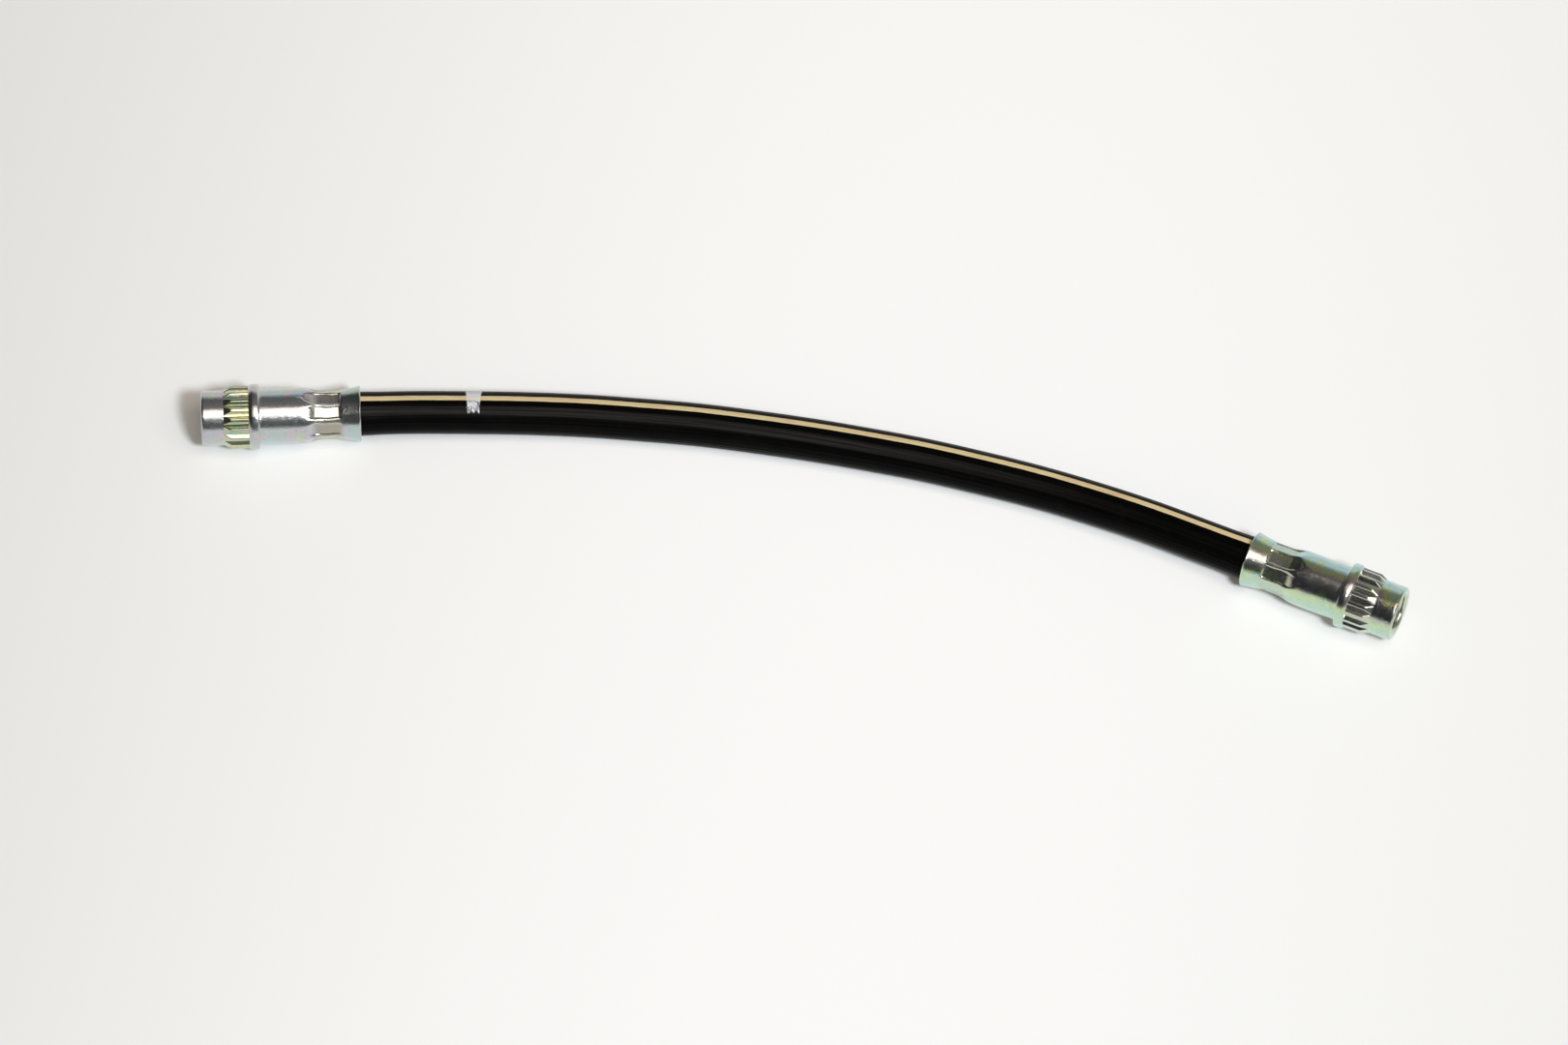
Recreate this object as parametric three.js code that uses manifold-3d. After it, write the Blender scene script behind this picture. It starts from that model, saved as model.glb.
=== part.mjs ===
// A hydraulic brake hose lying on a table: a reinforced rubber hose with the same crimped steel
// end fitting on both ends. +X runs along the chord from the left end to the right end, +Z is up,
// and the table is z = 0. The origin is under the middle of the two fittings.
// Lengths are in millimetres and angles in degrees.
import * as THREE from "three";
import { mergeVertices } from "three/addons/utils/BufferGeometryUtils.js";
import Module from "manifold-3d";

const wasm = await Module();
wasm.setup();

// Clearance between neighbouring pieces
const FIT_GAP = 0.3;

// Hose, layer by layer from the bore outwards
const HOSE_BORE_DIAMETER = 3.2;
const LINER_WALL = 1.1;
const BRAID_THICKNESS = 0.6;
const COVER_WALL = 1.35;

// End fitting, from its end face towards the hose
const CAP_DIAMETER = 13.4;
const CAP_LENGTH = 5.5;
const CAP_CHAMFER = 0.4;
const SPLINE_HEIGHT = 0.9;
const SPLINE_LENGTH = 6.1;
const SPLINE_LEAD_LENGTH = 1.7;
const SPLINE_COUNT = 18;
const SPLINE_CREST_WIDTH = 0.75;
const SPLINE_ROOT_WIDTH = 0.2;
const SPLINE_ROOT_STEP = 0.08;
const COLLAR_STEP = 0.45;
const COLLAR_WIDTH = 2.5;
const COLLAR_EDGE = 0.25;
const SLEEVE_LENGTH = 10.7;
const SLEEVE_WALL = 1.2;

// Crimp, pressed by a ring of jaws, with a rib left standing between each two
const CRIMP_LENGTH = 9;
const CRIMP_RAMP_LENGTH = 3.4;
const CRIMP_RAMP_STEPS = 3;
const CRIMP_SQUEEZE = 0.85;
const CRIMP_WALL = 0.9;
const CRIMP_RIB_HEIGHT = 0.48;
const CRIMP_RIB_DELAY = 1.1;
const JAW_COUNT = 9;
const JAW_FACE_WIDTH = 3.8;

// Flared mouth that the hose leaves
const FLARE_LENGTH = 5;
const MOUTH_DIAMETER = 12.3;
const LIP_WALL = 0.75;
const LIP_ROUND = 0.35;

// Inside the fitting
const SOCKET_DIAMETER = 8.9;
const SOCKET_DEPTH = 11.5;
const SOCKET_CHAMFER = 0.75;
const SEAT_CONE_HALF_ANGLE = 57.5;
const PASSAGE_DIAMETER = 2.1;
const HOSE_STOP_WALL = 3.2;
const NIPPLE_DIAMETER = 3.4;
const NIPPLE_END_GAP = 2.8;
const NIPPLE_NOSE = 0.3;
const BARB_HEIGHT = 0.15;
const BARB_LENGTH = 2.4;
const BARB_COUNT = 5;

// Where the hose leaves the left fitting, and how the fittings lie. The right one mirrors it.
const MOUTH_X = 109.8;
const MOUTH_Y = 4.6;
const FITTING_YAW = 14.3;
const LEFT_JAW_ROLL = -11;
const LEFT_SPLINE_ROLL = -12.5;
const RIGHT_JAW_ROLL = -5;
const RIGHT_SPLINE_ROLL = -11.4;

// Centreline of the free stretch: down from the left mouth, over the table in one shallow bow,
// and up to the right mouth
const FREE_ROUTE = [
  [-98, 7.5, 6.37],
  [-84, 10.4, 5.88],
  [-70, 13.0, 5.53],
  [-56, 15.1, 5.32],
  [-42, 16.6, 5.25],
  [-28, 17.8, 5.25],
  [-14, 18.4, 5.25],
  [0, 18.7, 5.25],
  [14, 18.6, 5.25],
  [28, 18.2, 5.25],
  [42, 17.2, 5.25],
  [56, 15.8, 5.32],
  [70, 13.7, 5.53],
  [84, 11.0, 5.88],
  [98, 7.6, 6.37],
];
const HOSE_STEPS = 13;
const HOSE_SIDES = 12;

// Faceting of the turned shapes
const TURNED_SEGMENTS = 54;
const BORED_SEGMENTS = 36;
const NIPPLE_SEGMENTS = 18;

// How far a cutter runs past the surface that it cuts
const OVERCUT = 1;

// Hose radii
const boreR = HOSE_BORE_DIAMETER / 2;
const linerR = boreR + LINER_WALL;
const braidInnerR = linerR + FIT_GAP;
const braidR = braidInnerR + BRAID_THICKNESS;
const coverInnerR = braidR + FIT_GAP;
const hoseR = coverInnerR + COVER_WALL;
const squeezedR = hoseR - CRIMP_SQUEEZE;

// Fitting radii
const capR = CAP_DIAMETER / 2;
const splineRootR = capR + SPLINE_ROOT_STEP;
const splineR = capR + SPLINE_HEIGHT;
const collarR = splineR + COLLAR_STEP;
const pocketR = hoseR + FIT_GAP;
const sleeveR = pocketR + SLEEVE_WALL;
const crimpPocketR = squeezedR + FIT_GAP;
const jawFaceR = crimpPocketR + CRIMP_WALL;
const crimpRibR = jawFaceR + CRIMP_RIB_HEIGHT;
const mouthR = MOUTH_DIAMETER / 2;
const lipR = mouthR + LIP_WALL;
const socketR = SOCKET_DIAMETER / 2;
const passageR = PASSAGE_DIAMETER / 2;
const nippleR = NIPPLE_DIAMETER / 2;
const barbR = nippleR + BARB_HEIGHT;

// Stations along the fitting, from its end face
const splineStart = CAP_LENGTH;
const collarStart = splineStart + SPLINE_LENGTH;
const collarEnd = collarStart + COLLAR_WIDTH;
const crimpStart = collarEnd + SLEEVE_LENGTH;
const crimpFlatStart = crimpStart + CRIMP_RAMP_LENGTH;
const crimpEnd = crimpStart + CRIMP_LENGTH;
const fittingLength = crimpEnd + FLARE_LENGTH;
const seatConeDepth = (socketR - passageR) / Math.tan(THREE.MathUtils.degToRad(SEAT_CONE_HALF_ANGLE));
const hoseStop = SOCKET_DEPTH + seatConeDepth + HOSE_STOP_WALL;
const nippleEnd = fittingLength - NIPPLE_END_GAP;

// How fast the pocket widens towards the mouth, in radius per length
const mouthSlope = (mouthR - crimpPocketR) / FLARE_LENGTH;

const steel = new THREE.MeshStandardMaterial({ color: 0xb9bcb6, metalness: 1, roughness: 0.32 });
const coverRubber = new THREE.MeshStandardMaterial({ color: 0x17171a, metalness: 0, roughness: 0.62 });
const braidTextile = new THREE.MeshStandardMaterial({ color: 0xd9d3c2, metalness: 0, roughness: 0.9 });
const linerRubber = new THREE.MeshStandardMaterial({ color: 0x101011, metalness: 0, roughness: 0.7 });

// A closed geometry as a solid that can be joined and cut
function solid(geometry) {
  const bare = geometry.clone();
  bare.deleteAttribute("normal");
  bare.deleteAttribute("uv");
  const merged = mergeVertices(bare, 1e-4);
  const vertProperties = new Float32Array(merged.attributes.position.array);
  const triVerts = new Uint32Array(merged.index.array);
  return new wasm.Manifold(new wasm.Mesh({ numProp: 3, vertProperties, triVerts }));
}

// A solid as a flat-shaded geometry
function geometryOf(made) {
  const mesh = made.getMesh();
  const geometry = new THREE.BufferGeometry();
  geometry.setAttribute("position", new THREE.BufferAttribute(new Float32Array(mesh.vertProperties), 3));
  geometry.setIndex(new THREE.BufferAttribute(new Uint32Array(mesh.triVerts), 1));
  const flat = geometry.toNonIndexed();
  flat.computeVertexNormals();
  return flat;
}

// A turned solid. The outline gives [radius, station] pairs, and the axis is +Y.
function turned(outline, segments) {
  const points = outline.map(([radius, station]) => new THREE.Vector2(radius, station));
  return new THREE.LatheGeometry(points, segments);
}

// Copies of one cutter spread evenly round the fitting's axis
function aroundAxis(geometry, count, rollDegrees) {
  const cutters = [];
  for (let i = 0; i < count; i++) {
    const angle = THREE.MathUtils.degToRad(rollDegrees) + (i * 2 * Math.PI) / count;
    cutters.push(solid(geometry.clone().rotateY(angle)));
  }
  return cutters;
}

// Points of a rounded outer corner, from the end of one flat to the start of the next
function roundedCorner(centreR, centreStation, radius, fromDegrees, toDegrees, steps) {
  const points = [];
  for (let i = 0; i <= steps; i++) {
    const angle = THREE.MathUtils.degToRad(THREE.MathUtils.lerp(fromDegrees, toDegrees, i / steps));
    points.push([centreR + radius * Math.cos(angle), centreStation + radius * Math.sin(angle)]);
  }
  return points;
}

// Outside of the fitting as it is turned: cap, spline band, collar, sleeve, crimped waist and flare
function blankGeometry() {
  const outline = [
    [0, 0],
    [capR - CAP_CHAMFER, 0],
    [capR, CAP_CHAMFER],
    [capR, splineStart],
    [splineRootR, splineStart],
    [splineR, splineStart + SPLINE_LEAD_LENGTH],
    [splineR, collarStart],
    [collarR - COLLAR_EDGE, collarStart],
    [collarR, collarStart + COLLAR_EDGE],
    [collarR, collarEnd - COLLAR_EDGE],
    [collarR - COLLAR_EDGE, collarEnd],
    [sleeveR, collarEnd],
    [sleeveR, crimpStart + CRIMP_RIB_DELAY],
    [crimpRibR, crimpFlatStart + CRIMP_RIB_DELAY],
    [crimpRibR, crimpEnd],
    [lipR, fittingLength - LIP_ROUND],
    ...roundedCorner(lipR - LIP_ROUND, fittingLength - LIP_ROUND, LIP_ROUND, 30, 90, 2),
    [0, fittingLength],
  ];
  return turned(outline, TURNED_SEGMENTS);
}

// One gap between two spline teeth, with its walls sloping down to a narrow root
function splineGrooveGeometry() {
  const toothPitch = (2 * Math.PI * splineR) / SPLINE_COUNT;
  const halfMouth = (toothPitch - SPLINE_CREST_WIDTH) / 2;
  const halfRoot = SPLINE_ROOT_WIDTH / 2;
  const wallSlope = (halfMouth - halfRoot) / (splineR - splineRootR);
  const topR = collarR + OVERCUT;
  const halfTop = halfRoot + wallSlope * (topR - splineRootR);
  const section = new THREE.Shape();
  section.moveTo(-halfTop, topR);
  section.lineTo(-halfRoot, splineRootR);
  section.lineTo(halfRoot, splineRootR);
  section.lineTo(halfTop, topR);
  section.closePath();
  const length = collarStart - splineStart + OVERCUT;
  const groove = new THREE.ExtrudeGeometry(section, { depth: length, bevelEnabled: false });
  groove.rotateX(Math.PI / 2);
  return groove.translate(0, collarStart, 0);
}

// The jaw's ramp, eased into the sleeve and into its flat, as [station, radius] pairs
function jawRamp() {
  const points = [];
  for (let i = 0; i <= CRIMP_RAMP_STEPS; i++) {
    const share = i / CRIMP_RAMP_STEPS;
    const eased = (1 - Math.cos(Math.PI * share)) / 2;
    points.push([crimpStart + share * CRIMP_RAMP_LENGTH, THREE.MathUtils.lerp(sleeveR, jawFaceR, eased)]);
  }
  return points;
}

// One jaw of the crimping tool: it ramps down into the sleeve, presses a flat, and ends square
function jawGeometry() {
  const topR = sleeveR + OVERCUT;
  const ramp = jawRamp();
  const [[firstStation, firstR], [nextStation, nextR]] = ramp;
  const profile = new THREE.Shape();
  profile.moveTo(firstStation - (OVERCUT * (nextStation - firstStation)) / (firstR - nextR), topR);
  for (const [station, radius] of ramp) {
    profile.lineTo(station, radius);
  }
  profile.lineTo(crimpEnd, jawFaceR);
  profile.lineTo(crimpEnd, topR);
  profile.closePath();
  const jaw = new THREE.ExtrudeGeometry(profile, { depth: JAW_FACE_WIDTH, bevelEnabled: false });
  jaw.translate(0, 0, -JAW_FACE_WIDTH / 2);
  const axial = new THREE.Vector3(0, 1, 0);
  const radial = new THREE.Vector3(0, 0, 1);
  const across = new THREE.Vector3(1, 0, 0);
  return jaw.applyMatrix4(new THREE.Matrix4().makeBasis(axial, radial, across));
}

// Pocket that the hose is pushed into, narrowed where the crimp grips it and open at the mouth
function pocketGeometry() {
  const outline = [
    [0, hoseStop],
    [pocketR, hoseStop],
    [pocketR, crimpStart],
    [crimpPocketR, crimpFlatStart],
    [crimpPocketR, crimpEnd],
    [mouthR + mouthSlope * OVERCUT, fittingLength + OVERCUT],
    [0, fittingLength + OVERCUT],
  ];
  return turned(outline, BORED_SEGMENTS);
}

// Nipple that the hose's liner is pushed over, with sawtooth barbs facing the hose stop
function nippleGeometry() {
  const firstBarb = nippleEnd - NIPPLE_NOSE - BARB_COUNT * BARB_LENGTH;
  const outline = [
    [0, hoseStop - OVERCUT],
    [nippleR, hoseStop - OVERCUT],
    [nippleR, firstBarb],
  ];
  for (let i = 0; i < BARB_COUNT; i++) {
    outline.push([barbR, firstBarb + i * BARB_LENGTH]);
    outline.push([nippleR, firstBarb + (i + 1) * BARB_LENGTH]);
  }
  outline.push([nippleR - NIPPLE_NOSE, nippleEnd]);
  outline.push([0, nippleEnd]);
  return turned(outline, NIPPLE_SEGMENTS);
}

// Socket for the brake pipe's nut, bored to its thread's crests, with the cone that the pipe seats on
function socketGeometry() {
  const entryR = socketR + SOCKET_CHAMFER;
  const outline = [
    [0, -OVERCUT],
    [entryR + OVERCUT, -OVERCUT],
    [socketR, SOCKET_CHAMFER],
    [socketR, SOCKET_DEPTH],
    [passageR / 2, SOCKET_DEPTH + seatConeDepth],
    [0, SOCKET_DEPTH + seatConeDepth],
  ];
  return turned(outline, BORED_SEGMENTS);
}

// Fluid passage from the seat cone to the nipple's nose
function passageGeometry() {
  const outline = [
    [0, SOCKET_DEPTH],
    [passageR, SOCKET_DEPTH],
    [passageR, nippleEnd + OVERCUT],
    [0, nippleEnd + OVERCUT],
  ];
  return turned(outline, NIPPLE_SEGMENTS);
}

// End fitting in one piece of steel: turned, splined, then crimped onto the hose
function endFittingGeometry(jawRoll, splineRoll) {
  let body = solid(blankGeometry());
  for (const groove of aroundAxis(splineGrooveGeometry(), SPLINE_COUNT, splineRoll)) {
    body = body.subtract(groove);
  }
  for (const jaw of aroundAxis(jawGeometry(), JAW_COUNT, jawRoll)) {
    body = body.subtract(jaw);
  }
  body = body.subtract(solid(pocketGeometry()));
  body = body.add(solid(nippleGeometry()));
  body = body.subtract(solid(socketGeometry()));
  body = body.subtract(solid(passageGeometry()));
  return geometryOf(body);
}

// A fitting lies on its collar and its lip, so its axis rises from the lip towards the end face
const restTilt = Math.atan((collarR - lipR) / (fittingLength - LIP_ROUND - collarEnd + COLLAR_EDGE));
const mouthHeight = lipR * Math.cos(restTilt) - LIP_ROUND * Math.sin(restTilt);

// Frame of a fitting: its +Y runs from the end face to the mouth, and side is -1 for the left end
function fittingFrame(side) {
  const yaw = THREE.MathUtils.degToRad(FITTING_YAW);
  const level = Math.cos(restTilt);
  const inward = new THREE.Vector3(-side * level * Math.cos(yaw), level * Math.sin(yaw), -Math.sin(restTilt));
  const across = new THREE.Vector3().crossVectors(inward, new THREE.Vector3(0, 0, 1)).normalize();
  const upward = new THREE.Vector3().crossVectors(across, inward);
  const mouth = new THREE.Vector3(side * MOUTH_X, MOUTH_Y, mouthHeight);
  const endFace = mouth.addScaledVector(inward, -fittingLength);
  return new THREE.Matrix4().makeBasis(across, inward, upward).setPosition(endFace);
}

const leftFrame = fittingFrame(-1);
const rightFrame = fittingFrame(1);

// Points of the hose's centreline inside a fitting, from its cut end to just short of the mouth
function tailPoints(frame) {
  const stations = [hoseStop + FIT_GAP, crimpStart, fittingLength];
  return stations.map((station) => new THREE.Vector3(0, station, 0).applyMatrix4(frame));
}

const hoseRoute = new THREE.CatmullRomCurve3(
  [
    ...tailPoints(leftFrame),
    ...FREE_ROUTE.map(([x, y, z]) => new THREE.Vector3(x, y, z)),
    ...tailPoints(rightFrame).reverse(),
  ],
  false,
  "centripetal",
);

// Corners of a regular polygon inside a circle
function polygonPoints(radius) {
  const points = [];
  for (let i = 0; i < HOSE_SIDES; i++) {
    const angle = ((i + 0.5) * 2 * Math.PI) / HOSE_SIDES;
    points.push(new THREE.Vector2(radius * Math.cos(angle), radius * Math.sin(angle)));
  }
  return points;
}

// One layer of the hose, swept along the whole route
function layerGeometry(innerR, outerR) {
  const section = new THREE.Shape(polygonPoints(outerR));
  section.holes.push(new THREE.Path(polygonPoints(innerR)));
  return new THREE.ExtrudeGeometry(section, { steps: HOSE_STEPS, extrudePath: hoseRoute });
}

// Rubber that the crimp squeezes away: a ring round the cover, parallel to the pocket's wall
function squeezeGeometry() {
  const rampSlope = CRIMP_SQUEEZE / CRIMP_RAMP_LENGTH;
  const outline = [
    [hoseR + OVERCUT, crimpStart - OVERCUT / rampSlope],
    [hoseR + OVERCUT, crimpEnd + (CRIMP_SQUEEZE + OVERCUT) / mouthSlope],
    [squeezedR, crimpEnd],
    [squeezedR, crimpFlatStart],
    [hoseR + OVERCUT, crimpStart - OVERCUT / rampSlope],
  ];
  return turned(outline, BORED_SEGMENTS);
}

// Room that the liner leaves for the nipple
function nippleRoomGeometry() {
  const roomR = barbR + FIT_GAP;
  const outline = [
    [0, hoseStop - OVERCUT],
    [roomR, hoseStop - OVERCUT],
    [roomR, nippleEnd + FIT_GAP],
    [0, nippleEnd + FIT_GAP],
  ];
  return turned(outline, NIPPLE_SEGMENTS);
}

// A hose layer with the same cut made at both fittings
function cutAtBothEnds(layer, cutter) {
  let made = solid(layer);
  for (const frame of [leftFrame, rightFrame]) {
    made = made.subtract(solid(cutter.clone().applyMatrix4(frame)));
  }
  return geometryOf(made);
}

function named(name, geometry, material) {
  const mesh = new THREE.Mesh(geometry, material);
  mesh.name = name;
  return mesh;
}

function endFitting(name, frame, jawRoll, splineRoll) {
  const fitting = named(name, endFittingGeometry(jawRoll, splineRoll), steel);
  fitting.position.setFromMatrixPosition(frame);
  fitting.quaternion.setFromRotationMatrix(frame);
  return fitting;
}

const brakeHose = new THREE.Group();
brakeHose.add(
  endFitting("end_fitting_left", leftFrame, LEFT_JAW_ROLL, LEFT_SPLINE_ROLL),
  endFitting("end_fitting_right", rightFrame, RIGHT_JAW_ROLL, RIGHT_SPLINE_ROLL),
  named("hose_cover", cutAtBothEnds(layerGeometry(coverInnerR, hoseR), squeezeGeometry()), coverRubber),
  named("hose_braid", layerGeometry(braidInnerR, braidR), braidTextile),
  named("hose_liner", cutAtBothEnds(layerGeometry(boreR, linerR), nippleRoomGeometry()), linerRubber),
);

export default brakeHose;
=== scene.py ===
import math

import bpy
import numpy as np
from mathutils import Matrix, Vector


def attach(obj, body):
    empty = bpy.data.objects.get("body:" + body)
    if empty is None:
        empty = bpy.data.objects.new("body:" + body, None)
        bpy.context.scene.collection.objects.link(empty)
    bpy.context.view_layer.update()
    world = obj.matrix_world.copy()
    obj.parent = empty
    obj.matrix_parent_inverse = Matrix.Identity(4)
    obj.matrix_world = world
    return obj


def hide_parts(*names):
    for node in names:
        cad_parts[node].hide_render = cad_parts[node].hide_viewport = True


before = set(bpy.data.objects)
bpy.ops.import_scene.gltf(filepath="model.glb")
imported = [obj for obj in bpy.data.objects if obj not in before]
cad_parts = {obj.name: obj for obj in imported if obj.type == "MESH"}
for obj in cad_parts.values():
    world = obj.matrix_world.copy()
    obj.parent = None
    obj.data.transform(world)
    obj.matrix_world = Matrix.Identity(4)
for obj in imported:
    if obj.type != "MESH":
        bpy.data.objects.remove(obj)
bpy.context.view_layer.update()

# The visual model of a brake hose that lies on a pale table: the rubber hose with its ribs, its
# cream line and a dab of paint, and the two zinc plated end fittings. Lengths are in metres, and
# angles in degrees.

# Camera, with the focal length and the width of its sensor in millimetres
CAMERA_PLACE = (0.13613, -0.7394, 1.29904)
CAMERA_TARGET = (-0.00318, -0.00245, 0.0)
CAMERA_LENS = 141.59
CAMERA_SENSOR = 36.0

# Hose
HOSE_RADIUS = 0.00525
COVER_BORE_RADIUS = 0.0039
CRIMPED_HOSE_RADIUS = 0.0044
HOSE_LENGTH = 0.26543
RIB_COUNT = 30
RIB_HEIGHT = 0.00005
LOWEST_RIB_SHARE = 0.35
POINTS_PER_RIB = 8
HOSE_RING_SPACING = 0.00115
BORE_RING_SPACING = 0.012
# Steps of the route between two of its points, points that state the hose's path, and how far
# to each side the route's direction is measured
ROUTE_STEPS_PER_SPAN = 24
TANGENT_REACH = 0.0004
# The rubber swells a little where it comes out of a fitting's mouth
LIP_BULGE = 0.00016
LIP_BULGE_REACH = 0.0035

# Centreline of the free stretch of hose, the same as that of the solid
FREE_ROUTE = [
    (-0.098, 0.0075, 0.00637),
    (-0.084, 0.0104, 0.00588),
    (-0.070, 0.0130, 0.00553),
    (-0.056, 0.0151, 0.00532),
    (-0.042, 0.0166, 0.00525),
    (-0.028, 0.0178, 0.00525),
    (-0.014, 0.0184, 0.00525),
    (0.0, 0.0187, 0.00525),
    (0.014, 0.0186, 0.00525),
    (0.028, 0.0182, 0.00525),
    (0.042, 0.0172, 0.00525),
    (0.056, 0.0158, 0.00532),
    (0.070, 0.0137, 0.00553),
    (0.084, 0.0110, 0.00588),
    (0.098, 0.0076, 0.00637),
]

# Cream line along the hose: its middle at each end of the hose is measured round from the top,
# away from the camera. Its width wanders, and its edges are a little soft
LINE_WIDTH = 0.0015
LINE_ANGLE_LEFT = 12.0
LINE_ANGLE_RIGHT = 17.0
LINE_WANDER = 1.6
LINE_SOFTNESS = 0.7

# Dab of paint: where its middle is along the hose, how wide it is at its far and near ends, and
# how far those ends are round from the top, towards the camera. Its sides are ragged
DAB_ALONG = 0.0492
DAB_FAR_WIDTH = 0.0041
DAB_NEAR_WIDTH = 0.0028
DAB_FAR_ANGLE = -82.0
DAB_NEAR_ANGLE = 32.0
DAB_RAGGED = 0.0009
DAB_MARGIN = 0.0004

# End fitting, with the sizes of its solid, apart from wider roots between the splines and from
# softer edges. Stations are measured from the end face towards the hose
FITTING_LENGTH = 0.0388
CAP_RADIUS = 0.0067
CAP_CHAMFER = 0.0004
SPLINE_START = 0.0055
SPLINE_LEAD = 0.0017
SPLINE_ROOT_RADIUS = 0.00678
SPLINE_RADIUS = 0.0076
SPLINE_COUNT = 18
SPLINE_CREST_WIDTH = 0.00075
SPLINE_ROOT_WIDTH = 0.0004
COLLAR_START = 0.0116
COLLAR_END = 0.0141
COLLAR_RADIUS = 0.00805
COLLAR_CHAMFER_LENGTH = 0.0008
COLLAR_CHAMFER_DEPTH = 0.00035
COLLAR_EDGE = 0.00025
COLLAR_ROUND = 0.0004
COLLAR_FILLET = 0.0002
SLEEVE_RADIUS = 0.00675
CRIMP_START = 0.0248
CRIMP_FLAT_START = 0.0282
CRIMP_END = 0.0338
CRIMP_RIB_RADIUS = 0.00608
CRIMP_RIB_DELAY = 0.0011
CRIMP_EASE = 0.0004
CRIMP_RUN_OUT = 0.0012
FLARE_HOLLOW = 0.2
JAW_COUNT = 9
JAW_RADIUS = 0.0056
JAW_WIDTH = 0.00295
JAW_WALL_SLOPE = 1.1
JAW_BELLY = 0.00005
JAW_EASE = 1.35
JAW_TOE = 0.0002
JAW_HEEL_LENGTH = 0.0007
JAW_HEEL_HEIGHT = 0.0016
JAW_HEEL_EASE = 1.5
CRIMP_BLEND = 0.00026
PRINT_ROUND_END = 0.0022
# How unlike the jaw prints are: in depth, in width, and in the waves of their sides, whose rate
# is in radians for each metre
PRINT_DEPTH_SPREAD = 0.00006
PRINT_WIDTH_SPREAD = 0.06
PRINT_SWAY = 0.00009
PRINT_SWAY_RATE = 1300
# The print that faces the camera on the left fitting is narrower than the rest, and turned
NARROW_PRINT = 1
NARROW_PRINT_SHARE = 0.82
NARROW_PRINT_TURN = -3.5
LIP_RADIUS = 0.0069
MOUTH_RADIUS = 0.00615
LIP_ROUND = 0.00035
INNER_LIP_ROUND = 0.0002
INNER_LIP_DROP = 0.00015
POCKET_RADIUS = 0.00555
CRIMP_POCKET_RADIUS = 0.0047
SOCKET_RADIUS = 0.00445
SOCKET_DEPTH = 0.0115
SOCKET_CHAMFER = 0.00075
SEAT_CONE_HALF_ANGLE = 57.5
PASSAGE_RADIUS = 0.00105
HOSE_STOP_WALL = 0.0032
HOSE_STOP_GAP = 0.0003
NIPPLE_RADIUS = 0.0017
NIPPLE_END_GAP = 0.0028
NIPPLE_NOSE = 0.0003
BARB_HEIGHT = 0.00015
BARB_LENGTH = 0.0024
BARB_COUNT = 5
BARB_BACK = 0.0001
# Distances beside the profile's edges, where its points crowd to keep the edges crisp
EDGE_TOUCH = 0.00001
EDGE_EASE = 0.00006
EDGE_HOLD = 0.0001

# Thread in the socket
THREAD_PITCH = 0.001
THREAD_DEPTH = 0.00054
THREAD_START = 0.0003
THREAD_END = 0.0102
THREAD_FADE = 0.0009
THREAD_FLANK = 1.3
THREAD_CREST_FLAT = 0.12
THREAD_RINGS_PER_PITCH = 7

# Where the fittings are and how far each one's jaws and splines are turned
MOUTH_X = 0.1098
MOUTH_Y = 0.0046
FITTING_YAW = 14.3
JAW_ROLL = {"left": -11.0, "right": -5.0}
SPLINE_ROLL = {"left": -12.5, "right": -11.4}
FITTING_POINTS_ROUND = 360
CRIMP_RINGS = 46
FLARE_RINGS = 12

# Seeds of the random draws
RIB_SEED = 7
PRINT_SEED = 3

# Stations worked out from the sizes above, and how the fitting rests: on its lip and on the
# edge of its collar
SEAT_DEPTH = (SOCKET_RADIUS - PASSAGE_RADIUS) / math.tan(math.radians(SEAT_CONE_HALF_ANGLE))
HOSE_STOP = SOCKET_DEPTH + SEAT_DEPTH + HOSE_STOP_WALL
HOSE_END = HOSE_STOP + HOSE_STOP_GAP
NIPPLE_END = FITTING_LENGTH - NIPPLE_END_GAP
REST_TILT = math.atan(
    (COLLAR_RADIUS - LIP_RADIUS) / (FITTING_LENGTH - LIP_ROUND - COLLAR_END + COLLAR_EDGE)
)
MOUTH_HEIGHT = LIP_RADIUS * math.cos(REST_TILT) - LIP_ROUND * math.sin(REST_TILT)

# Lamps, with their power in watts
PANEL_PLACE = (2.0, -0.95, 4.0)
BELOW_PANEL = (PANEL_PLACE[0], PANEL_PLACE[1], 0.0)
PANEL_SIZE = (4.5, 2.35)
PANEL_POWER = 92.0
PANEL_COLOUR = (1.0, 0.885, 0.755)
FRONT_PLACE = (0.62, -0.69, 1.30)
FRONT_SIZE = (0.25, 0.25)
FRONT_POWER = 19.0
FRONT_COLOUR = (0.89, 0.95, 1.0)

# The room as metal shows it, low and high on the far side and on the camera's side, and the dim
# light of those two sides on everything else
ROOM_FAR_LOW = (0.78, 0.76, 0.73, 1)
ROOM_FAR_HIGH_LEFT = (0.04, 0.042, 0.045, 1)
ROOM_FAR_HIGH_RIGHT = (0.25, 0.225, 0.215, 1)
ROOM_NEAR_LOW = (0.90, 0.90, 0.88, 1)
ROOM_NEAR_HIGH_LEFT = (0.035, 0.038, 0.042, 1)
ROOM_NEAR_HIGH_RIGHT = (0.12, 0.125, 0.115, 1)
ROOM_GLOW_NEAR = (0.23, 0.20, 0.168, 1)
ROOM_GLOW_FAR = (0.08, 0.072, 0.06, 1)

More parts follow.
